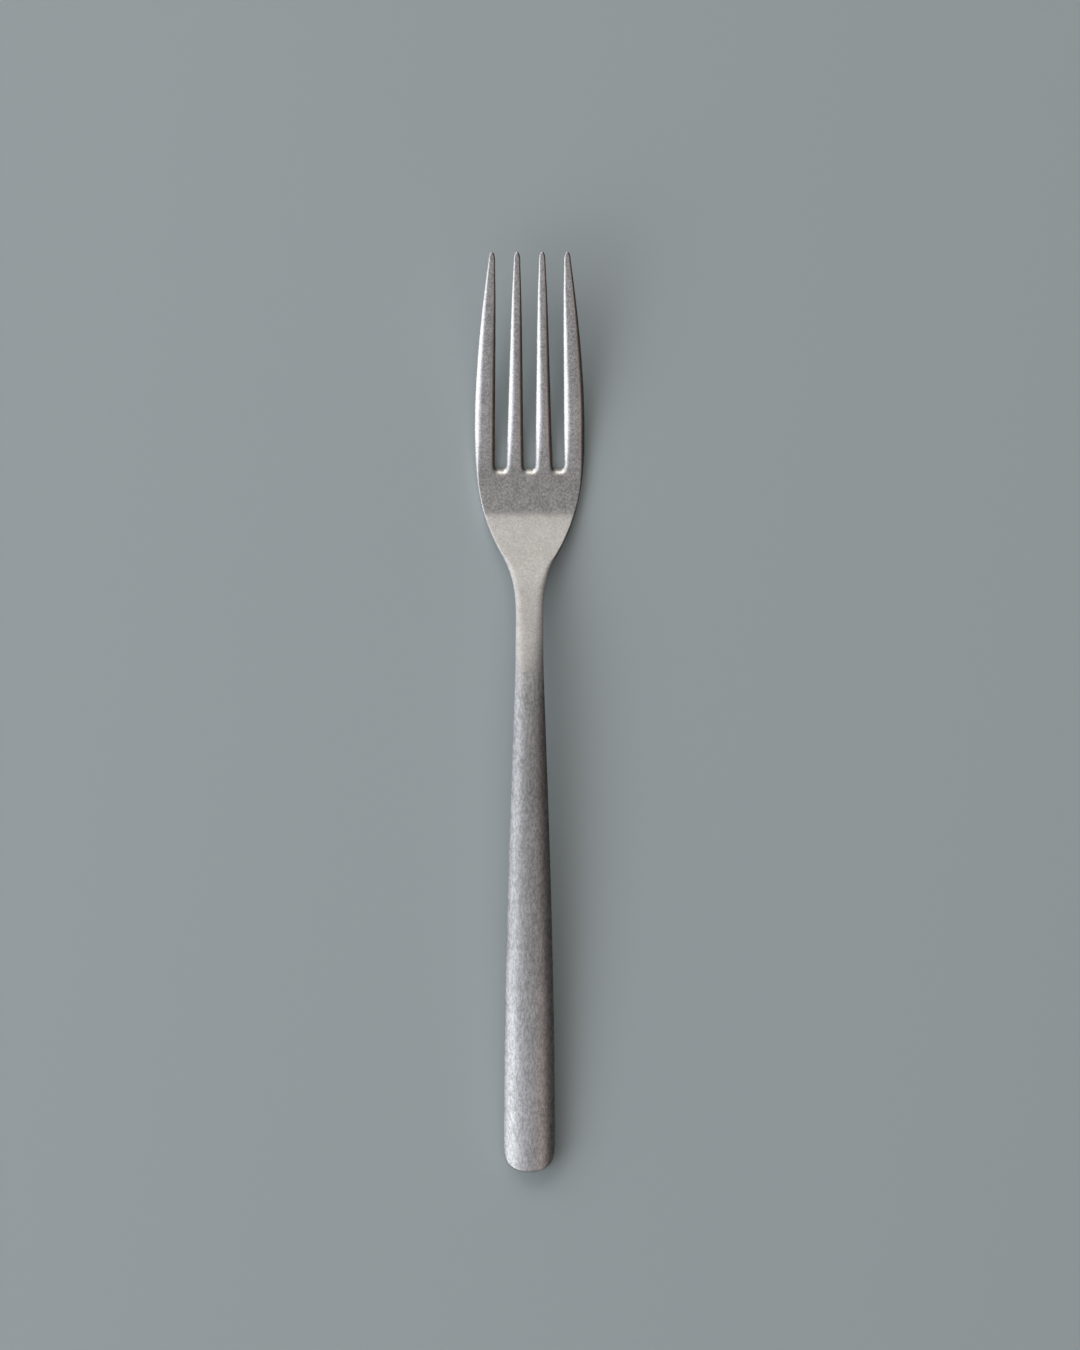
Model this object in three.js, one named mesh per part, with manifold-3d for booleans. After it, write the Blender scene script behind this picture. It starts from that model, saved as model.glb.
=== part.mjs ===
// Table fork, 200 mm long, lying tines up on a table.
// The head is forged in one piece with its tang. The handle is hollow: two pressed half shells,
// welded together along their edges, set on the tang with a hard compound and welded to the neck.
// Millimetres. +Z is up and z = 0 is the table. +Y points from the butt to the tine tips.
// A station is a distance from the tine tips, measured back along the fork.

import * as THREE from 'three';
import { mergeVertices } from 'three/addons/utils/BufferGeometryUtils.js';
import Module from 'manifold-3d';

const wasm = await Module();
wasm.setup();

// Lengths along the fork
const TINE_LENGTH = 47.4;
const WIDEST_SETBACK = 8.4;
const PALM_LENGTH = 18.5;
const NECK_LENGTH = 18.6;
const STUB_LENGTH = 6.5;
const HANDLE_LENGTH = 109;
const HEEL_SETBACK = 4.6;
const HEEL_LENGTH = 4.7;
const BEND_LENGTH = 1.6;
const CREST_SETBACK = 7;

// Tines and the slots between them
const TINES = 4;
const TIP_PITCH = 5.45;
const TIP_WIDTH = 1.45;
const TIP_ROUNDING = 1.2;
const SLOT_PITCH = 6.3;
const SLOT_WIDTH = 2.5;

// Widths, and how fast the outline widens per millimetre towards the butt
const HEAD_WIDTH = 24;
const SHOULDER_WIDTH = 12;
const NECK_WIDTH = 5.86;
const JOINT_WIDTH = 6.06;
const HANDLE_WIDTH = 11.1;
const TIP_FLARE = 0.1;
const SHOULDER_FLARE = -0.6;
const JOINT_FLARE = 0.036;

// Heights of the underside over the table, and its slopes
const TIP_LIFT = 14.1;
const BEND_LIFT = 0.16;
const SHOULDER_LIFT = 2.15;
const WAIST_LIFT = 6.5;
const CREST_LIFT = 7.3;
const TIP_SLOPE = -0.22;
const BEND_SLOPE = 0.2;
const SHOULDER_SLOPE = 0.29;
const WAIST_SLOPE = 0.13;
const CREST_SLOPE = -0.035;
const BUTT_SLOPE = -0.11;

// Thicknesses, and how fast they grow per millimetre towards the butt
const TIP_THICKNESS = 1.3;
const PALM_THICKNESS = 2.3;
const SHOULDER_THICKNESS = 2.6;
const JOINT_THICKNESS = 4.5;
const BUTT_THICKNESS = 6.2;
const TIP_SWELL = 0.02;
const PALM_SWELL = 0.01;
const SHOULDER_SWELL = 0.04;
const JOINT_SWELL = 0.045;

// Rounded edge of the head, and the most of a tine's width that it may take up
const EDGE = 0.7;
const EDGE_SHARE = 0.4;

// Powers of the rounded sections and of the butt's outline: 2 is an ellipse, more is squarer
const SQUARENESS = 3;
const BUTT_SQUARENESS = 2.5;

// Power by which the handle's height follows the butt's narrowing: 0 keeps all of it
const BUTT_TAPER = 0.25;

// Hollow handle, its welds, the tang and the compound round it
const WALL = 0.8;
const SEAM_HEIGHT = 0.5;
const NECK_WELD_LENGTH = 0.6;
const SPIGOT_LENGTH = 6;
const SPIGOT_CLEARANCE = 0.3;
const WELD_CLEARANCE = 0.05;
const TANG_LENGTH = 36;
const TANG_WIDTH = 2.8;
const TANG_THICKNESS = 1.4;
const TANG_TAPER = 2;
const SPLAY = 0.4;
const SPLAY_LENGTH = 3;
const CORE_SETBACK = 14;
const CORE_LENGTH = 46;
const CORE_CLEARANCE = 0.3;

// How finely the curved surfaces are cut into flat faces
const EDGE_STEPS = 8;
const TIP_STEPS = 4;
const SLOT_STEPS = 6;
const BUTT_STEPS = 8;
const MERGE_DISTANCE = 1e-4;
const ON_LINE = 1e-6;

// Stations of the outline and of the side view
const tipRadius = TIP_WIDTH / 2;
const slotRadius = SLOT_WIDTH / 2;
const slotCentre = TINE_LENGTH - slotRadius;
const widest = TINE_LENGTH - WIDEST_SETBACK;
const shoulder = TINE_LENGTH + PALM_LENGTH;
const waist = shoulder + NECK_LENGTH;
const joint = waist + STUB_LENGTH;
const overall = joint + HANDLE_LENGTH;
const heelFront = TINE_LENGTH + HEEL_SETBACK;
const heelBack = heelFront + HEEL_LENGTH;
const bendEnd = heelBack + BEND_LENGTH;
const crest = joint + CREST_SETBACK;
const mouth = joint + NECK_WELD_LENGTH;
const buttRadius = HANDLE_WIDTH / 2;
const buttCentre = overall - buttRadius;
const tangEnd = joint + TANG_LENGTH;
const coreFront = joint + CORE_SETBACK;
const coreBack = coreFront + CORE_LENGTH;
const lip = SEAM_HEIGHT / 2;
const outerTip = ((TINES - 1) / 2) * TIP_PITCH + tipRadius;

// Evenly spaced values, both ends included
function spread(from, to, steps) {
  return Array.from({ length: steps + 1 }, (_, i) => from + ((to - from) * i) / steps);
}

// Place on a rounded section of unit size at an angle: across from its middle, and up
const squared = (value, power) => Math.sign(value) * Math.abs(value) ** (2 / power);
const across = (angle, power = SQUARENESS) => squared(Math.cos(angle), power);
const upward = (angle, power = SQUARENESS) => squared(Math.sin(angle), power);

// Angle at which a rounded section reaches a share of its full height
const angleAt = (share, power = SQUARENESS) => Math.asin(Math.min(1, share) ** (power / 2));

// Angles through which the butt turns, until only the seam's height is left of its width
const buttHalf = BUTT_THICKNESS / 2;
const lastTurn = Math.PI / 2 - angleAt(lip / buttHalf, BUTT_SQUARENESS);
const buttTurns = spread(0, lastTurn, BUTT_STEPS);
const heightShare = (turn) => across(turn, BUTT_SQUARENESS) ** BUTT_TAPER;

// Height of the butt's underside at its centre, so that the sloping round end just meets the table
const buttDrop = Math.abs(BUTT_SLOPE) * buttRadius;
const buttLift = Math.max(...buttTurns.map((turn) => (
  buttDrop * upward(turn, BUTT_SQUARENESS) - buttHalf * (1 - heightShare(turn))
)));

// Smooth curve through knots [station, value, slope], running straight on past the last one
function curve(knots) {
  return (station) => {
    const [endStation, endValue, endSlope] = knots.at(-1);
    if (station >= endStation) {
      return endValue + endSlope * (station - endStation);
    }
    const after = Math.max(1, knots.findIndex(([knot]) => knot > station));
    const [fromStation, fromValue, fromSlope] = knots[after - 1];
    const [toStation, toValue, toSlope] = knots[after];
    const span = toStation - fromStation;
    const t = (station - fromStation) / span;
    const rise = t * t * (3 - 2 * t);
    const leave = t * (1 - t) * (1 - t);
    const arrive = t * t * (t - 1);
    const bend = span * (leave * fromSlope + arrive * toSlope);
    return fromValue + (toValue - fromValue) * rise + bend;
  };
}

const halfWidth = curve([
  [TIP_ROUNDING, outerTip, TIP_FLARE],
  [widest, HEAD_WIDTH / 2, 0],
  [shoulder, SHOULDER_WIDTH / 2, SHOULDER_FLARE],
  [waist, NECK_WIDTH / 2, 0],
  [joint, JOINT_WIDTH / 2, JOINT_FLARE],
  [buttCentre, HANDLE_WIDTH / 2, 0],
]);

const underside = curve([
  [0, TIP_LIFT, TIP_SLOPE],
  [heelFront, 0, 0],
  [heelBack, 0, 0],
  [bendEnd, BEND_LIFT, BEND_SLOPE],
  [shoulder, SHOULDER_LIFT, SHOULDER_SLOPE],
  [waist, WAIST_LIFT, WAIST_SLOPE],
  [crest, CREST_LIFT, CREST_SLOPE],
  [buttCentre, buttLift, BUTT_SLOPE],
]);

const thickness = curve([
  [0, TIP_THICKNESS, TIP_SWELL],
  [TINE_LENGTH, PALM_THICKNESS, PALM_SWELL],
  [shoulder, SHOULDER_THICKNESS, SHOULDER_SWELL],
  [joint, JOINT_THICKNESS, JOINT_SWELL],
  [buttCentre, BUTT_THICKNESS, 0],
]);

const middle = (station) => underside(station) + thickness(station) / 2;
const alongFork = (station) => overall / 2 - station;

// Closed solid from loose triangles, with its faces pointing out
function closeUp(triangles) {
  const loose = new THREE.BufferGeometry().setFromPoints(triangles.flat());
  const merged = mergeVertices(loose, MERGE_DISTANCE);
  const index = merged.getIndex().array;
  const corner = (i) => new THREE.Vector3().fromBufferAttribute(merged.getAttribute('position'), i);
  const kept = [];
  let volume = 0;
  for (let i = 0; i < index.length; i += 3) {
    const [a, b, c] = index.slice(i, i + 3);
    if (a === b || b === c || c === a) {
      continue;
    }
    kept.push(a, b, c);
    volume += corner(a).dot(corner(b).cross(corner(c)));
  }
  if (volume < 0) {
    kept.reverse();
  }
  merged.setIndex(kept);
  return merged;
}

function toManifold(geometry) {
  const vertProperties = new Float32Array(geometry.getAttribute('position').array);
  const triVerts = new Uint32Array(geometry.getIndex().array);
  return new wasm.Manifold(new wasm.Mesh({ numProp: 3, vertProperties, triVerts }));
}

function fromManifold(manifold) {
  const { vertProperties, triVerts } = manifold.getMesh();
  const geometry = new THREE.BufferGeometry();
  geometry.setAttribute('position', new THREE.BufferAttribute(vertProperties, 3));
  geometry.setIndex(new THREE.BufferAttribute(triVerts, 1));
  return geometry;
}

function quad(a, b, c, d) {
  return [[a, b, c], [a, c, d]];
}

// Skin between closed rings of points, either capped at both ends or joined end to end
function loft(rings, endless = false) {
  const triangles = [];
  const links = endless ? rings.length : rings.length - 1;
  for (let i = 0; i < links; i += 1) {
    const ring = rings[i];
    const next = rings[(i + 1) % rings.length];
    ring.forEach((point, j) => {
      const k = (j + 1) % ring.length;
      triangles.push(...quad(point, ring[k], next[k], next[j]));
    });
  }
  if (!endless) {
    triangles.push(...cap(rings[0].toReversed()), ...cap(rings.at(-1)));
  }
  return closeUp(triangles);
}

// Flat end of a loft, bridged between the first and the second half of its ring
function cap(ring) {
  const triangles = [];
  const last = ring.length - 1;
  for (let i = 0; i < last / 2; i += 1) {
    triangles.push(...quad(ring[i], ring[i + 1], ring[last - i - 1], ring[last - i]));
  }
  return triangles;
}

// Upright rounded ring round the fork's middle line
function oval(station, width, height) {
  return spread(0, 2 * Math.PI, 2 * EDGE_STEPS).slice(1).map((angle) => new THREE.Vector3(
    width * across(angle),
    alongFork(station),
    middle(station) + height * upward(angle),
  ));
}

// Head blank: outline

// One outline point: its place, the way its rounded edge runs inwards, and how far
function outlinePoint(x, station, inX, inStation, edge) {
  return { x, station, inX, inStation, edge };
}

// Edge rounding on a tine, limited by the tine's width
function tineEdge(station) {
  const rootWidth = SLOT_PITCH - SLOT_WIDTH;
  const width = THREE.MathUtils.mapLinear(station, 0, slotCentre, TIP_WIDTH, rootWidth);
  return Math.min(EDGE, EDGE_SHARE * width);
}

// Edge rounding on the outer sides: behind the waist it grows until the section is an oval
function sideEdge(station) {
  const rounding = THREE.MathUtils.smoothstep(station, waist, joint);
  return THREE.MathUtils.lerp(tineEdge(station), halfWidth(station), rounding);
}

function tipArc(centre) {
  return spread(0, Math.PI, TIP_STEPS).map((angle) => outlinePoint(
    centre + tipRadius * Math.cos(angle),
    TIP_ROUNDING - TIP_ROUNDING * Math.sin(angle),
    -Math.cos(angle),
    Math.sin(angle),
    tineEdge(TIP_ROUNDING),
  ));
}

function slotArc(centre) {
  return spread(0, Math.PI, SLOT_STEPS).map((angle) => outlinePoint(
    centre + slotRadius * Math.cos(angle),
    slotCentre + slotRadius * Math.sin(angle),
    Math.cos(angle),
    Math.sin(angle),
    tineEdge(slotCentre),
  ));
}

function headOutline(stations) {
  const points = [];
  const sides = stations.filter((station) => station > TIP_ROUNDING);
  for (const station of sides.toReversed()) {
    points.push(outlinePoint(halfWidth(station), station, -1, 0, sideEdge(station)));
  }
  for (let tine = 0; tine < TINES; tine += 1) {
    points.push(...tipArc(((TINES - 1) / 2 - tine) * TIP_PITCH));
    if (tine < TINES - 1) {
      points.push(...slotArc(((TINES - 2) / 2 - tine) * SLOT_PITCH));
    }
  }
  for (const station of sides) {
    points.push(outlinePoint(-halfWidth(station), station, 1, 0, sideEdge(station)));
  }
  return points;
}

// Head blank: solid

// Flat blank with rounded edges, from z = -1 underneath to z = 1 on top
function flatBlank(outline) {
  const rows = spread(-Math.PI / 2, Math.PI / 2, EDGE_STEPS).map((level) => outline.map((point) => {
    const inset = point.edge * (1 - across(level));
    return new THREE.Vector3(
      point.x + point.inX * inset,
      alongFork(point.station + point.inStation * inset),
      upward(level),
    );
  }));
  const bottom = rows[0];
  const top = rows.at(-1);
  const triangles = [];
  for (let i = 0; i + 1 < rows.length; i += 1) {
    outline.forEach((_, j) => {
      const k = (j + 1) % outline.length;
      triangles.push(...quad(rows[i][j], rows[i][k], rows[i + 1][k], rows[i + 1][j]));
    });
  }
  const contour = top.map((point) => new THREE.Vector2(point.x, point.y));
  for (const [a, b, c] of THREE.ShapeUtils.triangulateShape(contour, [])) {
    triangles.push([top[a], top[b], top[c]], [bottom[c], bottom[b], bottom[a]]);
  }
  return triangles;
}

// Point where an edge crosses a line across the fork, the same from either end of the edge
function crossing(a, b, line) {
  const [low, high] = a.y < b.y ? [a, b] : [b, a];
  const point = new THREE.Vector3().lerpVectors(low, high, (line - low.y) / (high.y - low.y));
  point.y = line;
  return point;
}

// Triangle cut in two along a line across the fork
function splitTriangle(triangle, line) {
  const sides = triangle.map(({ y }) => (Math.abs(y - line) < ON_LINE ? 0 : Math.sign(y - line)));
  if (!sides.includes(1) || !sides.includes(-1)) {
    return [triangle];
  }
  const above = [];
  const below = [];
  triangle.forEach((point, i) => {
    const j = (i + 1) % 3;
    if (sides[i] >= 0) {
      above.push(point);
    }
    if (sides[i] <= 0) {
      below.push(point);
    }
    if (sides[i] * sides[j] < 0) {
      const cut = crossing(point, triangle[j], line);
      above.push(cut);
      below.push(cut);
    }
  });
  const fan = (points) => points.slice(2).map((point, i) => [points[0], points[i + 1], point]);
  return [...fan(above), ...fan(below)];
}

// Blank pressed to its side view, bending along the stations
function pressed(triangles, stations) {
  let scored = triangles;
  for (const station of stations) {
    scored = scored.flatMap((triangle) => splitTriangle(triangle, alongFork(station)));
  }
  return scored.map((triangle) => triangle.map((point) => {
    const station = alongFork(point.y);
    const height = middle(station) + (point.z * thickness(station)) / 2;
    return new THREE.Vector3(point.x, point.y, height);
  }));
}

// Head

// Stations where the head's outline has a point and its surface bends
const headStations = [
  ...spread(0, widest, 5).slice(1),
  ...spread(widest, slotCentre, 2).slice(1),
  heelFront,
  ...spread(heelBack, bendEnd, 2),
  ...spread(bendEnd, shoulder, 2).slice(1),
  ...spread(shoulder, waist, 5).slice(1),
  ...spread(waist, joint, 3).slice(1),
];

// Spigot in the handle's mouth, then the tang with its splayed end, each grown by a clearance
function tang(clearance) {
  const spigotWidth = halfWidth(mouth) - WALL - SPIGOT_CLEARANCE;
  const spigotHeight = thickness(mouth) / 2 - WALL - SPIGOT_CLEARANCE;
  const spigotEnd = joint + SPIGOT_LENGTH;
  const splayStart = tangEnd - SPLAY_LENGTH;
  const rings = [];
  for (const station of spread(joint - SPIGOT_LENGTH / 2, spigotEnd, 3)) {
    rings.push(oval(station, spigotWidth + clearance, spigotHeight + clearance));
  }
  for (const station of spread(spigotEnd + TANG_TAPER, splayStart, 5)) {
    rings.push(oval(station, TANG_WIDTH / 2 + clearance, TANG_THICKNESS / 2 + clearance));
  }
  const splayed = SPLAY + clearance;
  rings.push(oval(tangEnd + clearance, TANG_WIDTH / 2 + splayed, TANG_THICKNESS / 2 + splayed));
  return loft(rings);
}

function forkHead() {
  const blank = closeUp(pressed(flatBlank(headOutline(headStations)), headStations));
  return fromManifold(toManifold(blank).add(toManifold(tang(0))));
}

// Handle

const handleStations = spread(mouth, buttCentre, 14);

// Sections of the handle's skin from its mouth to the butt, set in from the outside
function handleSections(inset) {
  const sections = handleStations.map((station) => ({
    station,
    width: halfWidth(station) - inset,
    height: thickness(station) / 2 - inset,
  }));
  const radius = buttRadius - inset;
  for (const turn of buttTurns.slice(1)) {
    sections.push({
      station: buttCentre + radius * upward(turn, BUTT_SQUARENESS),
      width: radius * across(turn, BUTT_SQUARENESS),
      height: (buttHalf - inset) * heightShare(turn),
    });
  }
  return sections;
}

const outerSkin = handleSections(0);
const innerSkin = handleSections(WALL);

// Angle at which a section meets the lip beside the seam
const lipAngle = ({ height }) => angleAt(lip / height);

// Arch of one section from lip to lip, over the top or under the bottom
function arch(section, side) {
  const start = lipAngle(section);
  return spread(start, Math.PI - start, EDGE_STEPS).map((angle) => new THREE.Vector3(
    section.width * across(angle),
    alongFork(section.station),
    middle(section.station) + side * section.height * upward(angle),
  ));
}

function handleShell(side) {
  return loft(outerSkin.map((outer, i) => [
    ...arch(outer, side),
    ...arch(innerSkin[i], side).toReversed(),
  ]));
}

// Weld between the shells' lips, down one side, round the butt and back up the other
function seamWeld() {
  const corner = (section, side, height) => new THREE.Vector3(
    side * section.width * across(lipAngle(section)),
    alongFork(section.station),
    middle(section.station) + height,
  );
  const ring = (i, side) => [
    corner(outerSkin[i], side, lip),
    corner(outerSkin[i], side, -lip),
    corner(innerSkin[i], side, -lip),
    corner(innerSkin[i], side, lip),
  ];
  const right = outerSkin.map((_, i) => ring(i, 1));
  const left = outerSkin.map((_, i) => ring(i, -1)).toReversed().slice(1);
  return loft([...right, ...left]);
}

// Weld ring between the end of the neck and the mouth of the shells, down to the spigot
function neckWeld() {
  const inset = WALL + SPIGOT_CLEARANCE - WELD_CLEARANCE;
  const bore = [halfWidth(mouth) - inset, thickness(mouth) / 2 - inset];
  const frontOuter = oval(joint, halfWidth(joint), thickness(joint) / 2);
  const backOuter = oval(mouth, halfWidth(mouth), thickness(mouth) / 2);
  const backInner = oval(mouth, ...bore);
  const frontInner = oval(joint, ...bore);
  return loft([frontOuter, backOuter, backInner, frontInner], true);
}

// Compound that fills the handle round the tang
function handleCore() {
  const inset = WALL + CORE_CLEARANCE;
  const filling = loft(spread(coreFront, coreBack, 8).map((station) => oval(
    station,
    halfWidth(station) - inset,
    thickness(station) / 2 - inset,
  )));
  return fromManifold(toManifold(filling).subtract(toManifold(tang(CORE_CLEARANCE))));
}

// Assembly

const steel = new THREE.MeshStandardMaterial({ color: 0x8f8c88, roughness: 0.42, metalness: 1 });
const weldSteel = new THREE.MeshStandardMaterial({ color: 0x8a8783, roughness: 0.45, metalness: 1 });
const compound = new THREE.MeshStandardMaterial({ color: 0x4a4642, roughness: 0.9, metalness: 0 });

function piece(name, geometry, material) {
  const mesh = new THREE.Mesh(geometry, material);
  mesh.name = name;
  return mesh;
}

const handle = new THREE.Group();
handle.name = 'handle';
handle.add(
  piece('handle_upper_shell', handleShell(1), steel),
  piece('handle_lower_shell', handleShell(-1), steel),
  piece('seam_weld', seamWeld(), weldSteel),
  piece('handle_core', handleCore(), compound),
);

const fork = new THREE.Group();
fork.name = 'table_fork';
fork.add(
  piece('fork_head', forkHead(), steel),
  piece('neck_weld', neckWeld(), weldSteel),
  handle,
);

export default fork;
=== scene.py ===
"""Table fork in tumbled stainless steel, seen from straight above on a pale floor.

The fork lies along Y with its tines at +Y and its top at +Z. Shapes are worked out in millimetres and
turned into metres as vertices are made. A station is a distance back from the tine tips.
"""

import math

import bmesh
import bpy
import numpy as np
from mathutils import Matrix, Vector
from mathutils.geometry import delaunay_2d_cdt


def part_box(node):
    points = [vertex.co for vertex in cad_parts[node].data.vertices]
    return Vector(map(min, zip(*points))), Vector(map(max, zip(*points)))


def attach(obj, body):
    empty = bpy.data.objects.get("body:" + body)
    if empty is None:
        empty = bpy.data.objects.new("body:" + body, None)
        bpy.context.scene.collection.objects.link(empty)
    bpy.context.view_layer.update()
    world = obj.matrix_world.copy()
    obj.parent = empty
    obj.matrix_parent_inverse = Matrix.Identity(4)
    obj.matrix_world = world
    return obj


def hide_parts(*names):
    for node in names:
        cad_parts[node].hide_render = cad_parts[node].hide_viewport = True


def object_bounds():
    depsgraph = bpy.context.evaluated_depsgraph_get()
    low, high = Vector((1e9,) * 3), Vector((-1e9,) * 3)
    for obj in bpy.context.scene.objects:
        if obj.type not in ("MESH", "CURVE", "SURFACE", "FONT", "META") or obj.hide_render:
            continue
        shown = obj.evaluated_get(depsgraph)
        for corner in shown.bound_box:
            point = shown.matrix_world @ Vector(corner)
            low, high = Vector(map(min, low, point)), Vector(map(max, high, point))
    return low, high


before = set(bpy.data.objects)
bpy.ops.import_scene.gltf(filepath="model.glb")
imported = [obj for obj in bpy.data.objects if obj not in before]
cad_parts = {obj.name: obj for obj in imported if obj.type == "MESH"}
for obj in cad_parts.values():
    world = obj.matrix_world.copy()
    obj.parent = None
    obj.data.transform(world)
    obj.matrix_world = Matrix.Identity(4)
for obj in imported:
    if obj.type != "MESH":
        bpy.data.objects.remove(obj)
cad_low, cad_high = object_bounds()

MM = 0.001

# Places along the fork that the frame gives
neck_weld_low, neck_weld_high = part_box("neck_weld")
TIP_Y = cad_high.y / MM
JOINT = TIP_Y - neck_weld_high.y / MM
MOUTH = TIP_Y - neck_weld_low.y / MM
LENGTH = 2 * TIP_Y

# Head, tip to joint
TINES = 4
TINE_LENGTH = 46.7
TIP_PITCH = 5.45
TIP_RADIUS = 0.75
TIP_ROUNDING = 1.7
SLOT_PITCH = 6.3
SLOT_RADIUS = 1.25
SLOT_ROUNDING = 1.15
SLOT_POWER = 2.8
SLOT_END = TINE_LENGTH - SLOT_ROUNDING
WIDEST = 38.7
HEEL_FRONT = 51.7
HEEL_BACK = 54.9
BEND_END = 57.0
SHOULDER = 65.6
NECK_RISE = 67.6
NECK_EASE = 72.6
WAIST = 84.2
TINE_MIDDLE = 28.0
TINE_ROOT = 38.0
OUTER_TIP = (TINES - 1) / 2 * TIP_PITCH + TIP_RADIUS

# Half widths
HEAD_HALF_WIDTH = 12.0
SHOULDER_HALF_WIDTH = 6.0
WAIST_HALF_WIDTH = 3.0
JOINT_HALF_WIDTH = 3.08

# Heights of the underside above the floor
TIP_LIFT = 14.1
BEND_LIFT = 0.16
SHOULDER_LIFT = 2.44
NECK_RISE_LIFT = 3.035
NECK_EASE_LIFT = 4.125
WAIST_LIFT = 5.685
CREST_LIFT = 6.67

# Thicknesses
TIP_THICKNESS = 1.3
PALM_THICKNESS = 2.3
SHOULDER_THICKNESS = 2.6
JOINT_THICKNESS = 4.5

# Handle, joint to butt
CREST = JOINT + 7.0
FULL_CROWN = JOINT + 14.0
BUTT_RADIUS = 5.6
BUTT_HALF = 3.1
BUTT_POWER = 2.4
SHOULDER_CROWN_SHARE = 0.033
NECK_CROWN_SHARE = 0.17
CROWN_SHARE = 0.28
RIM_POWER = 1.08
END_POWER = 40.0
END_SHARPNESS = 0.75
BUTT_CENTRE = LENGTH - BUTT_RADIUS
BUTT_SLOPE = -0.11
WALL = 0.8
LIP = 0.25
BEAD_GROOVE = 0.02

# Tang inside the handle
SPIGOT_END = JOINT + 6.0
SPIGOT_GAP = 0.3
TANG_START = SPIGOT_END + 2.0
TANG_END = JOINT + 36.0
TANG_HALF_WIDTH = 1.4
TANG_HALF_HEIGHT = 0.7
SPLAY_START = TANG_END - 3.0
SPLAY = 0.4

# Mesh density and tolerances
QUARTER_STEPS = 14
ARC_STEPS = 20
BUTT_STEPS = 30
BEAD_STEPS = 4
SIDE_SPACING = 0.6
GRID_SPACING = 0.6
HANDLE_SPACING = 1.0
MERGE_DISTANCE = 1e-7
INSIDE_ONLY = 1
CUT_TOLERANCE = 1e-6
SHARP_ANGLE = math.radians(50)


# Shape of the fork


def curve(*knots):
    """Smooth curve through (station, value, slope) knots, running straight on past the last one."""

    def value_at(station):
        end_station, end_value, end_slope = knots[-1]
        if station >= end_station:
            return end_value + end_slope * (station - end_station)
        after = next(i for i in range(1, len(knots)) if knots[i][0] > station)
        start, low, slope_out = knots[after - 1]
        stop, high, slope_in = knots[after]
        span = stop - start
        t = (station - start) / span
        rise = t * t * (3 - 2 * t)
        bend = t * (1 - t) * (1 - t) * slope_out + t * t * (t - 1) * slope_in
        return low + (high - low) * rise + span * bend

    return value_at


def spread(start, stop, steps):
    return [start + (stop - start) * i / steps for i in range(steps + 1)]


def across(angle, power):
    """Sideways part of a rounded section of unit size."""
    return max(0.0, math.cos(angle)) ** (2 / power)


def upward(angle, power):
    """Upward part of a rounded section of unit size."""
    return math.copysign(abs(math.sin(angle)) ** (2 / power), angle)


BUTT_TURNS = spread(0.0, math.pi / 2, BUTT_STEPS)


def crown_share(angle, turn):
    """Share of the crown's height at an angle of the section, with the butt turned so far.

    The crown runs straight on into the butt, and only its end is rounded off.
    """
    inside = 1 - (math.cos(angle) * math.cos(turn)) ** 2
    if inside <= 0:
        return 0.0
    end = (math.sin(turn) ** 2 / inside) ** (END_POWER / BUTT_POWER)
    return inside ** (1 / RIM_POWER) * max(0.0, 1 - end) ** END_SHARPNESS


def butt_lift():
    """Height of the butt's underside at its centre, so that the sloping end just meets the floor."""
    drop = -BUTT_SLOPE * BUTT_RADIUS
    height = CROWN_SHARE * BUTT_RADIUS
    shares = [(upward(turn, BUTT_POWER), crown_share(math.pi / 2, turn)) for turn in BUTT_TURNS]
    return max(drop * end - height * (1 - share) for end, share in shares)


# Half the width: each knot of these curves is a station, the value there and its slope
half_width = curve(
    (TIP_ROUNDING, OUTER_TIP, 0.14),
    (WIDEST, HEAD_HALF_WIDTH, 0.0),
    (SHOULDER, SHOULDER_HALF_WIDTH, -0.6),
    (WAIST, WAIST_HALF_WIDTH, 0.0),
    (JOINT, JOINT_HALF_WIDTH, 0.036),
    (BUTT_CENTRE, BUTT_RADIUS, 0.0),
)

# Height of the underside above the floor
underside = curve(
    (0.0, TIP_LIFT, -0.22),
    (HEEL_FRONT, 0.0, 0.0),
    (HEEL_BACK, 0.0, 0.0),
    (BEND_END, BEND_LIFT, 0.215),
    (SHOULDER, SHOULDER_LIFT, 0.3),
    (NECK_RISE, NECK_RISE_LIFT, 0.285),
    (NECK_EASE, NECK_EASE_LIFT, 0.15),
    (WAIST, WAIST_LIFT, 0.125),
    (CREST, CREST_LIFT, -0.035),
    (BUTT_CENTRE, butt_lift(), BUTT_SLOPE),
)

# Thickness from the underside to the top
thickness = curve(
    (0.0, TIP_THICKNESS, 0.02),
    (TINE_LENGTH, PALM_THICKNESS, 0.01),
    (SHOULDER, SHOULDER_THICKNESS, 0.04),
    (JOINT, JOINT_THICKNESS, 0.045),
    (BUTT_CENTRE, 2 * BUTT_HALF, 0.0),
)

# Width of the rounded edge along the slots and along the outer sides
slot_edge = curve(
    (0.0, 0.4, 0.02),
    (TINE_MIDDLE, 1.35, 0.02),
    (TINE_ROOT, 1.5, 0.0),
    (SLOT_END, 1.2, -0.05),
)

outer_edge = curve(
    (0.0, 0.4, 0.03),
    (TINE_MIDDLE, 1.55, 0.01),
    (WIDEST, 1.6, 0.0),
    (HEEL_FRONT, 0.45, 0.0),
    (SHOULDER, 0.55, 0.0),
)

# Power of the crown on the neck and the handle: 2 is an ellipse, more is squarer
squareness = curve(
    (SHOULDER, 5.0, 0.0),
    (WAIST, 2.9, -0.1),
    (JOINT, 2.45, -0.06),
    (FULL_CROWN, 2.05, 0.0),
    (BUTT_CENTRE, BUTT_POWER, 0.0),
)

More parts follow.
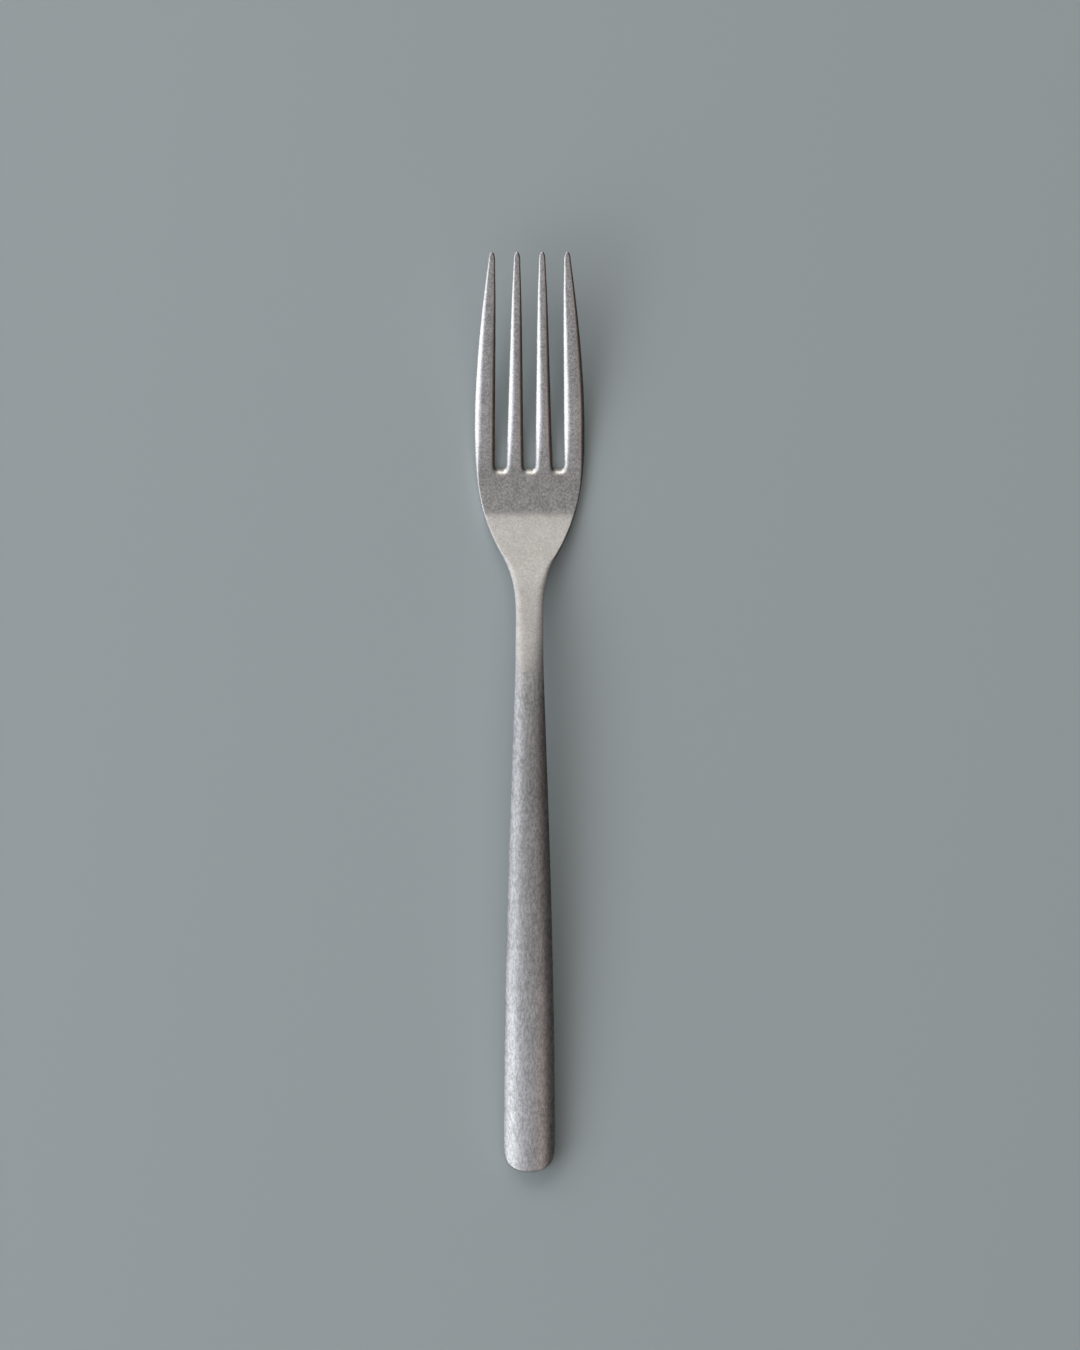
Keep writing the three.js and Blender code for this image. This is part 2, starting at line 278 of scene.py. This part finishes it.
# Height of the crown above the upright sides, as a share of half the width
crown_depth = curve(
    (SHOULDER, SHOULDER_CROWN_SHARE, 0.003),
    (JOINT, NECK_CROWN_SHARE, 0.011),
    (FULL_CROWN, CROWN_SHARE, 0.0),
    (BUTT_CENTRE, CROWN_SHARE, 0.0),
)


def crown(station):
    """Height of the crown above the upright sides of the neck and the handle."""
    return crown_depth(station) * half_width(station)


def middle(station):
    return underside(station) + thickness(station) / 2


# Half width and half height of the spigot and of the weld ring's bore, which it fills
SPIGOT = (
    half_width(MOUTH) - WALL - SPIGOT_GAP,
    thickness(MOUTH) / 2 - WALL - SPIGOT_GAP,
)


def place(x, station, z):
    """Point in metres for a place in millimetres."""
    return Vector((x, TIP_Y - station, z)) * MM


def spaced(start, stop, spacing):
    return spread(start, stop, max(1, round((stop - start) / spacing)))


def mix(low, high, t):
    return low + (high - low) * t


def smooth_step(value, low, high):
    t = min(1.0, max(0.0, (value - low) / (high - low)))
    return t * t * (3 - 2 * t)


# Angles of a section from its bottom to its side and from its side to its top
UPPER_ANGLES = spread(0.0, math.pi / 2, QUARTER_STEPS)
ANGLES = [-angle for angle in reversed(UPPER_ANGLES)] + UPPER_ANGLES


# Meshes


def loft(bm, rings, endless=False):
    """Faces between neighbouring closed rings of vertices."""
    pairs = list(zip(rings, rings[1:]))
    if endless:
        pairs.append((rings[-1], rings[0]))
    for ring, following in pairs:
        for j in range(len(ring)):
            k = (j + 1) % len(ring)
            bm.faces.new((ring[j], ring[k], following[k], following[j]))


def bridge_cap(bm, ring):
    """Flat end of a loft, bridged between the two halves of its ring."""
    last = len(ring) - 1
    for i in range(len(ring) // 2 - 1):
        bm.faces.new((ring[i], ring[i + 1], ring[last - i - 1], ring[last - i]))


def new_ring(bm, points):
    return [bm.verts.new(p) for p in points]


def finish_piece(bm, name, material, replaced):
    """Turns a bmesh into a smooth piece that rides on the fork and stands for a solid."""
    bmesh.ops.remove_doubles(bm, verts=bm.verts, dist=MERGE_DISTANCE)
    bmesh.ops.dissolve_degenerate(bm, dist=MERGE_DISTANCE, edges=bm.edges)
    bmesh.ops.recalc_face_normals(bm, faces=bm.faces)
    mesh = bpy.data.meshes.new(name)
    bm.to_mesh(mesh)
    bm.free()
    mesh.shade_smooth()
    mesh.set_sharp_from_angle(angle=SHARP_ANGLE)
    mesh.materials.append(material)
    piece = bpy.data.objects.new(name, mesh)
    bpy.context.scene.collection.objects.link(piece)
    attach(piece, "root")
    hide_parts(replaced)


def section(station, width, crown_height, side_height, power, rim_power):
    """Closed section with upright sides and a crown above and below, up the right and down the left."""
    right = []
    left = []
    for i, angle in enumerate(ANGLES):
        side = -1 if i <= QUARTER_STEPS else 1
        x = width * across(angle, power)
        z = middle(station) + side * side_height + crown_height * upward(angle, rim_power)
        right.append(place(x, station, z))
        left.append(place(-x, station, z))
    return right + left[::-1]


# Forged head

SLOT_END_EDGE = 1.75
EDGE_POWER = 2.0
EDGE_RIM_POWER = 1.1
LEAST_DROP = 0.08
DROP_SHARE = 0.3
TINE_SWELL = 0.11
SWELL_PEAK = 0.2
SWELL_FALL = 0.3
NECK_ROUNDING = 2.5
# Stations between which the worn rims, painted lighter as a highlight, fade out
WEAR_AND_SHEEN_FADE = HEEL_BACK
WEAR_AND_SHEEN_END = SHOULDER


def outline_point(x, station, in_x, in_station, edge):
    """Outline point: its place, its way into the metal, its edge's width and drop, and its powers.

    Behind the shoulder the edge grows until the neck has the handle's crown.
    """
    before_joint = min(1.0, (JOINT - station) / (JOINT - SHOULDER))
    rounding = 1 - before_joint ** NECK_ROUNDING
    drop = mix(LEAST_DROP + DROP_SHARE * edge, crown(station), rounding)
    edge = mix(edge, half_width(station), rounding)
    power = mix(EDGE_POWER, squareness(station), rounding)
    rim_power = mix(EDGE_RIM_POWER, RIM_POWER, rounding)
    return x, station, in_x, in_station, edge, drop, power, rim_power


def swell(t):
    """Rise from 0 at a tine's tip to 1 near a fifth of its length, and back to 0 at its root."""
    return smooth_step(t, 0.0, SWELL_PEAK) * (1 - smooth_step(t, SWELL_FALL, 1.0))


def tip_arc(centre):
    """Round end of a tine from its right side to its left."""
    points = []
    edge = slot_edge(TIP_ROUNDING)
    for angle in spread(0, math.pi, ARC_STEPS):
        x = centre + TIP_RADIUS * math.cos(angle)
        station = TIP_ROUNDING * (1 - math.sin(angle))
        points.append(outline_point(x, station, -math.cos(angle), math.sin(angle), edge))
    return points


def slot_arc(centre):
    """Rounded end of a slot from its right side to its left, with a wider edge at its middle."""
    points = []
    normal_power = SLOT_POWER / (SLOT_POWER - 1)
    for angle in spread(-math.pi / 2, math.pi / 2, ARC_STEPS):
        x = centre - SLOT_RADIUS * upward(angle, SLOT_POWER)
        station = SLOT_END + SLOT_ROUNDING * across(angle, SLOT_POWER)
        in_x = -upward(angle, normal_power) / SLOT_RADIUS
        in_station = across(angle, normal_power) / SLOT_ROUNDING
        length = math.hypot(in_x, in_station)
        edge = mix(slot_edge(SLOT_END), SLOT_END_EDGE, (in_station / length) ** 2)
        points.append(outline_point(x, station, in_x / length, in_station / length, edge))
    return points


def tine_side(tip_x, root_x, inwards):
    """Side of a tine from its tip to its root without the two ends, swelled slightly behind the tip."""
    points = []
    for station in spaced(TIP_ROUNDING, SLOT_END, SIDE_SPACING)[1:-1]:
        t = (station - TIP_ROUNDING) / (SLOT_END - TIP_ROUNDING)
        x = mix(tip_x, root_x, t) - inwards * TINE_SWELL * swell(t)
        points.append(outline_point(x, station, inwards, 0.0, slot_edge(station)))
    return points


def outer_side(side):
    """Outer side of the head from behind the tip to the joint."""
    points = []
    for station in spaced(TIP_ROUNDING, JOINT, SIDE_SPACING)[1:]:
        x = side * half_width(station)
        points.append(outline_point(x, station, -side, 0.0, outer_edge(station)))
    return points


def head_outline():
    """Outline from the joint up the right side, round tines and slots, and down the left side."""
    points = outer_side(1.0)[::-1]
    for tine in range(TINES):
        tip = ((TINES - 1) / 2 - tine) * TIP_PITCH
        points += tip_arc(tip)
        if tine == TINES - 1:
            continue
        slot = ((TINES - 2) / 2 - tine) * SLOT_PITCH
        points += tine_side(tip - TIP_RADIUS, slot + SLOT_RADIUS, 1.0)
        points += slot_arc(slot)
        points += tine_side(tip - TIP_PITCH + TIP_RADIUS, slot - SLOT_RADIUS, -1.0)[::-1]
    return points + outer_side(-1.0)


def inside_points(contour):
    """Grid points inside a closed contour that keep clear of it."""
    low = contour.min(axis=0)
    high = contour.max(axis=0)
    xs = np.arange(low[0], high[0], GRID_SPACING)
    ys = np.arange(low[1], high[1], GRID_SPACING)
    grid = np.array([(x, y) for y in ys for x in xs])
    following = np.roll(contour, -1, axis=0)
    inside = np.zeros(len(grid), bool)
    for (x0, y0), (x1, y1) in zip(contour, following):
        if y0 == y1:
            continue
        spans = (grid[:, 1] < y0) != (grid[:, 1] < y1)
        crossing = x0 + (grid[:, 1] - y0) * (x1 - x0) / (y1 - y0)
        inside ^= spans & (grid[:, 0] < crossing)
    grid = grid[inside]
    nearest = np.array([np.hypot(*(contour - g).T).min() for g in grid])
    return grid[nearest > GRID_SPACING / 2]


def calmness(station):
    """How even the steel is: 0 on the tines and the palm, 1 on the shoulder and the neck."""
    return smooth_step(station, HEEL_BACK, BEND_END)


def head_sides(bm, outline):
    """Rows of vertices round the head, from the bottom face's rim up to the top one's, and their faces."""
    wear_and_sheen = bm.verts.layers.float.new("wear_and_sheen")
    calm = bm.verts.layers.float.new("calm")
    rows = []
    for i, angle in enumerate(ANGLES):
        side = -1 if i <= QUARTER_STEPS else 1
        row = []
        for x, station, in_x, in_station, edge, drop, power, rim_power in outline:
            inset = edge * (1 - across(angle, power))
            at = station + in_station * inset
            wall = thickness(at) / 2 - drop
            z = middle(at) + side * wall + drop * upward(angle, rim_power)
            vertex = bm.verts.new(place(x + in_x * inset, at, z))
            # Worn rims, also painted lighter as a highlight: most on the upright sides, fading out behind
            # the heel
            vertex[wear_and_sheen] = math.cos(angle) * (1 - smooth_step(at, WEAR_AND_SHEEN_FADE, WEAR_AND_SHEEN_END))
            vertex[calm] = max(math.sqrt(vertex[wear_and_sheen]), calmness(at))
            row.append(vertex)
        rows.append(row)
    for lower, upper in zip(rows, rows[1:]):
        for j in range(len(outline) - 1):
            bm.faces.new((lower[j], lower[j + 1], upper[j + 1], upper[j]))
    return rows


def head_faces(bm, rows):
    """Top and bottom faces inside the rims."""
    calm = bm.verts.layers.float["calm"]
    contour = np.array([(v.co.x / MM, v.co.y / MM) for v in rows[-1]])
    flats = [Vector(p) for p in (*contour, *inside_points(contour))]
    border = [list(range(len(contour)))]
    spots, _, faces, spot_sources, _, _ = delaunay_2d_cdt(flats, [], border, INSIDE_ONLY, CUT_TOLERANCE)
    for side, rim in ((1, rows[-1]), (-1, rows[0])):
        corners = []
        for spot, sources in zip(spots, spot_sources):
            if sources and sources[0] < len(rim):
                corners.append(rim[sources[0]])
                continue
            station = TIP_Y - spot.y
            z = middle(station) + side * thickness(station) / 2
            vertex = bm.verts.new(place(spot.x, station, z))
            vertex[calm] = calmness(station)
            corners.append(vertex)
        for face in faces:
            bm.faces.new([corners[i] for i in face])


def make_head(material):
    """Tines, palm, shoulder and neck, with the spigot and the tang behind them."""
    bm = bmesh.new()
    rows = head_sides(bm, head_outline())
    head_faces(bm, rows)
    neck_end = [row[0] for row in rows] + [row[-1] for row in reversed(rows)]
    rings = [neck_end]
    tang = (TANG_HALF_WIDTH, TANG_HALF_HEIGHT)
    splayed = (TANG_HALF_WIDTH + SPLAY, TANG_HALF_HEIGHT + SPLAY)
    for station in spaced(JOINT, SPIGOT_END, HANDLE_SPACING):
        rings.append(new_ring(bm, section(station, *SPIGOT, 0.0, BUTT_POWER, BUTT_POWER)))
    for station in spaced(TANG_START, SPLAY_START, HANDLE_SPACING):
        rings.append(new_ring(bm, section(station, *tang, 0.0, BUTT_POWER, BUTT_POWER)))
    rings.append(new_ring(bm, section(TANG_END, *splayed, 0.0, BUTT_POWER, BUTT_POWER)))
    loft(bm, rings)
    bridge_cap(bm, rings[-1])
    finish_piece(bm, "forged_head", material, "fork_head")


# Hollow handle


def handle_sections(inset):
    """Sections of the handle's skin, set in from outside.

    Each is a station, half a width, a crown's height, a side's height, a power and the butt's turn.
    """
    sections = []
    for station in spaced(MOUTH, BUTT_CENTRE, HANDLE_SPACING):
        side = thickness(station) / 2 - crown(station)
        size = (half_width(station) - inset, crown(station) - inset, side)
        sections.append((station, *size, squareness(station), 0.0))
    radius = BUTT_RADIUS - inset
    height = crown(BUTT_CENTRE) - inset
    side = BUTT_HALF - crown(BUTT_CENTRE)
    for turn in BUTT_TURNS[1:]:
        station = BUTT_CENTRE + radius * upward(turn, BUTT_POWER)
        size = (radius * across(turn, BUTT_POWER), height, side)
        sections.append((station, *size, squareness(BUTT_CENTRE), turn))
    return sections


OUTER_SKIN = handle_sections(0.0)
INNER_SKIN = handle_sections(WALL)


def arch(skin_section, side):
    """Half a section from lip to lip, over the top or under the bottom."""
    station, width, crown_height, side_height, power, turn = skin_section
    right = [place(width, station, middle(station) + side * LIP)]
    left = [place(-width, station, middle(station) + side * LIP)]
    for angle in UPPER_ANGLES:
        x = width * across(angle, power)
        z = middle(station) + side * (side_height + crown_height * crown_share(angle, turn))
        right.append(place(x, station, z))
        left.append(place(-x, station, z))
    return right + left[::-1]


def make_shell(name, material, node, side):
    """Upper or lower half of the hollow handle, open at its mouth and along its lips."""
    bm = bmesh.new()
    rings = []
    for outer, inner in zip(OUTER_SKIN, INNER_SKIN):
        rings.append(new_ring(bm, arch(outer, side) + arch(inner, side)[::-1]))
    loft(bm, rings)
    bridge_cap(bm, rings[0])
    finish_piece(bm, name, material, node)


def seam_ring(outer, inner, side):
    """Section of the seam weld on the right or on the left, between the lips of the two shells."""
    points = []
    for skin_section, rises in ((outer, (-LIP, LIP)), (inner, (LIP, -LIP))):
        station, width = skin_section[:2]
        for rise in rises:
            points.append(place(side * width, station, middle(station) + rise))
    return points


def make_seam(material):
    """Weld metal along the lips of the shells, down the right, round the butt and up the left."""
    bm = bmesh.new()
    pairs = list(zip(OUTER_SKIN, INNER_SKIN))
    rings = [new_ring(bm, seam_ring(outer, inner, 1)) for outer, inner in pairs]
    rings += [new_ring(bm, seam_ring(outer, inner, -1)) for outer, inner in reversed(pairs)]
    loft(bm, rings)
    bm.faces.new(rings[0])
    bm.faces.new(rings[-1])
    finish_piece(bm, "seam_bead", material, "seam_weld")


def make_neck_ring(material):
    """Ring of weld metal with a faint groove round it."""
    bm = bmesh.new()
    rings = []
    for i, station in enumerate(spread(JOINT, MOUTH, BEAD_STEPS)):
        groove = BEAD_GROOVE * math.sin(math.pi * i / BEAD_STEPS)
        side = thickness(station) / 2 - crown(station)
        size = (half_width(station) - groove, crown(station) - groove, side)
        rings.append(new_ring(bm, section(station, *size, squareness(station), RIM_POWER)))
    for station in (MOUTH, JOINT):
        rings.append(new_ring(bm, section(station, *SPIGOT, 0.0, BUTT_POWER, BUTT_POWER)))
    loft(bm, rings, endless=True)
    finish_piece(bm, "neck_bead", material, "neck_weld")


# Materials


class Nodes:
    """Adds and links the nodes of one material or world."""

    def __init__(self, owner):
        owner.use_nodes = True
        self.tree = owner.node_tree
        self.tree.nodes.clear()

    def put(self, socket, value):
        if isinstance(value, bpy.types.NodeSocket):
            self.tree.links.new(value, socket)
        else:
            socket.default_value = value

    def add(self, kind, inputs, **settings):
        node = self.tree.nodes.new(kind)
        for name, value in settings.items():
            setattr(node, name, value)
        for name, value in inputs.items():
            self.put(node.inputs[name], value)
        return node

    def math(self, operation, *values):
        node = self.add("ShaderNodeMath", dict(enumerate(values)), operation=operation)
        return node.outputs[0]

    def remap(self, value, low, high, to_low, to_high):
        """Value taken smoothly from one range to another."""
        inputs = {
            "Value": value,
            "From Min": low,
            "From Max": high,
            "To Min": to_low,
            "To Max": to_high,
        }
        return self.add("ShaderNodeMapRange", inputs, interpolation_type="SMOOTHSTEP").outputs[0]

    def fork_place(self, turn, stretch):
        """Place on the fork in millimetres, turned about Z and drawn out along the turned Y."""
        metres = self.add("ShaderNodeTexCoord", {}).outputs["Object"]
        turned = self.add("ShaderNodeMapping", {"Vector": metres, "Rotation": (0.0, 0.0, turn)})
        scale = (1 / MM, 1 / MM / stretch, 1 / MM)
        return self.add("ShaderNodeMapping", {"Vector": turned.outputs[0], "Scale": scale}).outputs[0]

    def noise(self, vector, size, detail, rough):
        inputs = {"Vector": vector, "Scale": 1 / size, "Detail": detail, "Roughness": rough}
        return self.add("ShaderNodeTexNoise", inputs).outputs[0]

    def shine(self, shader, kind="ShaderNodeOutputMaterial"):
        self.add(kind, {"Surface": shader})


# Fine scratches: direction in degrees, width and length in millimetres, and how rare they are
SCRATCHES = (
    (28, 0.16, 5.0, 0.74),
    (-42, 0.14, 4.0, 0.75),
    (78, 0.13, 3.0, 0.75),
    (4, 0.18, 9.0, 0.72),
)
SCRATCH_EDGE = 0.04
SCRATCH_TONE = 0.12
SCRATCH_DEPTH = 0.3


def scratch_lines(nodes):
    """1 on a fine scratch and 0 elsewhere."""
    lines = 0.0
    for degrees, width, length, rarity in SCRATCHES:
        along = nodes.fork_place(math.radians(degrees), length / width)
        grain = nodes.noise(along, width, detail=1.0, rough=0.5)
        line = nodes.remap(grain, rarity, rarity + SCRATCH_EDGE, 0.0, 1.0)
        lines = nodes.math("MAXIMUM", lines, line)
    return lines


# Speckle of the steel: sizes in millimetres, and the ranges of noise that are drawn out
GRAIN_SIZE = 0.45
GRAIN_RANGE = (0.34, 0.66)
MOTTLE_SIZE = 2.2
MOTTLE_RANGE = (0.25, 0.75)
MOTTLE_SHARE = 0.25
CLOUD_SIZE = 14.0
CLOUD_TURN = 0.3
CLOUD_STRETCH = 1.6
CLOUD_RANGE = (0.3, 0.7)
CLOUD_TONES = (0.97, 1.03)
CALM_SHARE = 0.45
BUMP_STRENGTH = 0.4
BUMP_HEIGHT = 0.003 * MM

# Wear and painted light: worn edges, smoother and painted lighter as a highlight, a painted shade
# darkening the upper handle and a painted reflection lightening the butt, and where they blend along Y
PAINTED_RIM_HIGHLIGHT = 1.52
WORN_POLISH = 0.16
UPPER_HANDLE_PAINTED_SHADE = 0.93
UPPER_HANDLE_BLEND = (-14.0, 6.0)
BUTT_PAINTED_REFLECTION = 1.2
BUTT_BLEND = (-90.0, -30.0)


def tumbled_steel(name, tint, rough, stretch, contrast):
    """Stainless steel tumbled with stones: matt and mottled, with tiny scratches and worn edges painted
    lighter as a highlight.

    The grain is drawn out along the fork, and calmer on the shoulder, the neck and the worn edges. Painted
    shade darkens the upper handle and a painted reflection lightens the butt.
    """
    material = bpy.data.materials.new(name)
    nodes = Nodes(material)
    drawn_out = nodes.fork_place(0.0, stretch)
    cloudy = nodes.fork_place(CLOUD_TURN, CLOUD_STRETCH)
    grain = nodes.noise(drawn_out, GRAIN_SIZE, detail=2.5, rough=1.0)
    mottle = nodes.noise(drawn_out, MOTTLE_SIZE, detail=1.0, rough=0.5)
    cloud = nodes.noise(cloudy, CLOUD_SIZE, detail=2.0, rough=0.5)
    scratches = scratch_lines(nodes)
    wear_and_sheen = nodes.add("ShaderNodeAttribute", {}, attribute_name="wear_and_sheen").outputs["Fac"]
    calm = nodes.add("ShaderNodeAttribute", {}, attribute_name="calm").outputs["Fac"]
    along = nodes.add("ShaderNodeSeparateXYZ", {"Vector": nodes.fork_place(0.0, 1.0)}).outputs["Y"]

    speckle = nodes.remap(grain, *GRAIN_RANGE, -contrast, contrast)
    broad = MOTTLE_SHARE * contrast
    speckle = nodes.math("ADD", speckle, nodes.remap(mottle, *MOTTLE_RANGE, -broad, broad))
    speckle = nodes.math("MULTIPLY_ADD", scratches, SCRATCH_TONE, speckle)
    speckle = nodes.math("MULTIPLY", speckle, nodes.remap(calm, 0.0, 1.0, 1.0, CALM_SHARE))
    tone = nodes.math("ADD", speckle, nodes.remap(cloud, *CLOUD_RANGE, *CLOUD_TONES))
    # Worn rims painted lighter: a painted highlight on top of the real wear, which the smoother roughness
    # below stands for
    tone = nodes.math("MULTIPLY", tone, nodes.remap(wear_and_sheen, 0.0, 1.0, 1.0, PAINTED_RIM_HIGHLIGHT))
    # Painted shade darkens the upper handle and a painted reflection lightens the butt, blended along Y
    tone = nodes.math("MULTIPLY", tone, nodes.remap(along, *UPPER_HANDLE_BLEND, UPPER_HANDLE_PAINTED_SHADE, 1.0))
    tone = nodes.math("MULTIPLY", tone, nodes.remap(along, *BUTT_BLEND, BUTT_PAINTED_REFLECTION, 1.0))
    colour = nodes.add("ShaderNodeVectorMath", {"Vector": tint, "Scale": tone}, operation="SCALE")

    dullness = nodes.math("MULTIPLY_ADD", wear_and_sheen, -WORN_POLISH, rough)
    height = nodes.math("MULTIPLY_ADD", scratches, -SCRATCH_DEPTH, grain)
    bump = nodes.add("ShaderNodeBump", {
        "Strength": BUMP_STRENGTH,
        "Distance": BUMP_HEIGHT,
        "Height": height,
    })
    steel = nodes.add("ShaderNodeBsdfPrincipled", {
        "Base Color": colour.outputs[0],
        "Metallic": 1.0,
        "Roughness": dullness,
        "Normal": bump.outputs[0],
    })
    nodes.shine(steel.outputs[0])
    return material


RESIN_TINT = (0.29, 0.27, 0.25)
RESIN_ROUGHNESS = 0.85
RESIN_GRAIN_SIZE = 0.4
RESIN_GRAIN_RANGE = (0.3, 0.7)
RESIN_GRAIN_TONES = (0.7, 1.3)
RESIN_BUMP_STRENGTH = 0.5
RESIN_BUMP_HEIGHT = 0.05 * MM


def filled_resin():
    """Dull brown-grey setting compound with mineral grains."""
    material = bpy.data.materials.new("setting_compound")
    nodes = Nodes(material)
    grains = nodes.noise(nodes.fork_place(0.0, 1.0), RESIN_GRAIN_SIZE, detail=4.0, rough=0.6)
    tone = nodes.remap(grains, *RESIN_GRAIN_RANGE, *RESIN_GRAIN_TONES)
    colour = nodes.add("ShaderNodeVectorMath", {"Vector": RESIN_TINT, "Scale": tone}, operation="SCALE")
    bump = nodes.add("ShaderNodeBump", {
        "Strength": RESIN_BUMP_STRENGTH,
        "Distance": RESIN_BUMP_HEIGHT,
        "Height": grains,
    })
    resin = nodes.add("ShaderNodeBsdfPrincipled", {
        "Base Color": colour.outputs[0],
        "Roughness": RESIN_ROUGHNESS,
        "Normal": bump.outputs[0],
    })
    nodes.shine(resin.outputs[0])
    return material


FLOOR_COLOUR = (0.522, 0.592, 0.607, 1.0)
FLOOR_ROUGHNESS = 0.7


def pale_floor():
    """Plain matt grey-green."""
    material = bpy.data.materials.new("pale_floor")
    nodes = Nodes(material)
    floor = nodes.add("ShaderNodeBsdfPrincipled", {
        "Base Color": FLOOR_COLOUR,
        "Roughness": FLOOR_ROUGHNESS,
    })
    nodes.shine(floor.outputs[0])
    return material


# Camera, stage and light, in metres and photo pixels, with the sensor in millimetres

PHOTO_WIDTH = 1080
PHOTO_HEIGHT = 1350
AXIS_PIXEL = 529.5
TIP_PIXEL = 253.6
BUTT_PIXEL = 1173.9
CAMERA_DISTANCE = 1.5
SENSOR = 36.0
REFERENCE_HEIGHT = 0.008
FLOOR_SIZE = 6.0
FLOOR_GAP = 0.00005
ROOM_LEFT = 0.285
ROOM_RIGHT = 0.018
ROOM_BLEND = (0.2, 0.7)
ROOM_COLOUR = (1.0, 0.99, 0.965, 1.0)
LAMP_DISTANCE = 1.6

# Lamps: azimuth and angle from straight above in degrees, width and height in metres, radiance, colour
SOFTBOXES = {
    "window": (212, 52, 1.1, 1.1, 1.42, (0.9, 0.94, 1.0)),
    "left_wall": (174, 52, 0.45, 0.9, 0.88, (0.8, 0.82, 1.0)),
    "far_left": (140, 45, 0.9, 1.3, 0.9, (0.96, 0.96, 1.0)),
    "far_ceiling": (105, 36, 1.1, 0.6, 1.18, (1.0, 0.93, 0.865)),
    "near_left": (243, 26, 0.5, 0.5, 0.72, (0.82, 0.78, 1.0)),
    "warm_lamp": (322, 33, 0.5, 0.7, 0.48, (1.0, 0.75, 0.68)),
}


def make_camera():
    """Camera straight above, framed so that the tine tips and the butt fall on their photo pixels."""
    pixel = LENGTH * MM / (BUTT_PIXEL - TIP_PIXEL)
    data = bpy.data.cameras.new("camera")
    data.sensor_width = SENSOR
    data.lens = SENSOR * CAMERA_DISTANCE / (PHOTO_HEIGHT * pixel)
    camera = bpy.data.objects.new("camera", data)
    bpy.context.scene.collection.objects.link(camera)
    camera.location = (
        (PHOTO_WIDTH / 2 - AXIS_PIXEL) * pixel,
        TIP_Y * MM - (PHOTO_HEIGHT / 2 - TIP_PIXEL) * pixel,
        CAMERA_DISTANCE + REFERENCE_HEIGHT,
    )
    bpy.context.scene.camera = camera


def make_floor():
    """Square floor just under the fork, in view but not part of it."""
    mesh = bpy.data.meshes.new("floor")
    half = FLOOR_SIZE / 2
    corners = [(-half, -half), (half, -half), (half, half), (-half, half)]
    mesh.from_pydata([(x, y, -FLOOR_GAP) for x, y in corners], [], [(0, 1, 2, 3)])
    mesh.materials.append(pale_floor())
    floor = bpy.data.objects.new("floor", mesh)
    bpy.context.scene.collection.objects.link(floor)


def make_softbox(name, azimuth, from_zenith, width, height, radiance, colour):
    """Rectangular lamp of even radiance that faces the fork.

    Azimuth turns from +X towards +Y, and the other angle tips down from straight above, in degrees.
    """
    turn = math.radians(azimuth)
    tip = math.radians(from_zenith)
    outward = math.sin(tip)
    towards = Vector((outward * math.cos(turn), outward * math.sin(turn), math.cos(tip)))
    data = bpy.data.lights.new(name, "AREA")
    data.shape = "RECTANGLE"
    data.size = width
    data.size_y = height
    data.energy = radiance * math.pi * width * height
    data.color = colour
    lamp = bpy.data.objects.new(name, data)
    bpy.context.scene.collection.objects.link(lamp)
    lamp.location = towards * LAMP_DISTANCE
    lamp.rotation_euler = towards.to_track_quat("Z", "Y").to_euler()
    lamp.visible_camera = False


def make_world():
    """Room light: grey overhead and on the left, dark on the right."""
    world = bpy.data.worlds.new("room")
    bpy.context.scene.world = world
    nodes = Nodes(world)
    direction = nodes.add("ShaderNodeTexCoord", {}).outputs["Generated"]
    sideways = nodes.add("ShaderNodeSeparateXYZ", {"Vector": direction}).outputs["X"]
    level = nodes.remap(sideways, *ROOM_BLEND, ROOM_LEFT, ROOM_RIGHT)
    light = nodes.add("ShaderNodeBackground", {"Color": ROOM_COLOUR, "Strength": level})
    nodes.shine(light.outputs[0], "ShaderNodeOutputWorld")


make_camera()
make_world()
make_floor()
for lamp_name, lamp_sizes in SOFTBOXES.items():
    make_softbox(lamp_name, *lamp_sizes)

HEAD_TINT = (0.565, 0.56, 0.549)
HANDLE_TINT = (0.56, 0.56, 0.56)
WELD_TINT = (0.54, 0.54, 0.54)
head_steel = tumbled_steel("tumbled_head", HEAD_TINT, rough=0.38, stretch=1.2, contrast=0.32)
handle_steel = tumbled_steel("tumbled_handle", HANDLE_TINT, rough=0.38, stretch=3.0, contrast=0.27)
weld = tumbled_steel("tumbled_weld", WELD_TINT, rough=0.4, stretch=3.0, contrast=0.27)

make_head(head_steel)
make_shell("upper_shell", handle_steel, "handle_upper_shell", 1)
make_shell("lower_shell", handle_steel, "handle_lower_shell", -1)
make_seam(weld)
make_neck_ring(weld)

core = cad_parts["handle_core"]
core.data.materials.clear()
core.data.materials.append(filled_resin())

bpy.context.scene.view_settings.view_transform = "Standard"
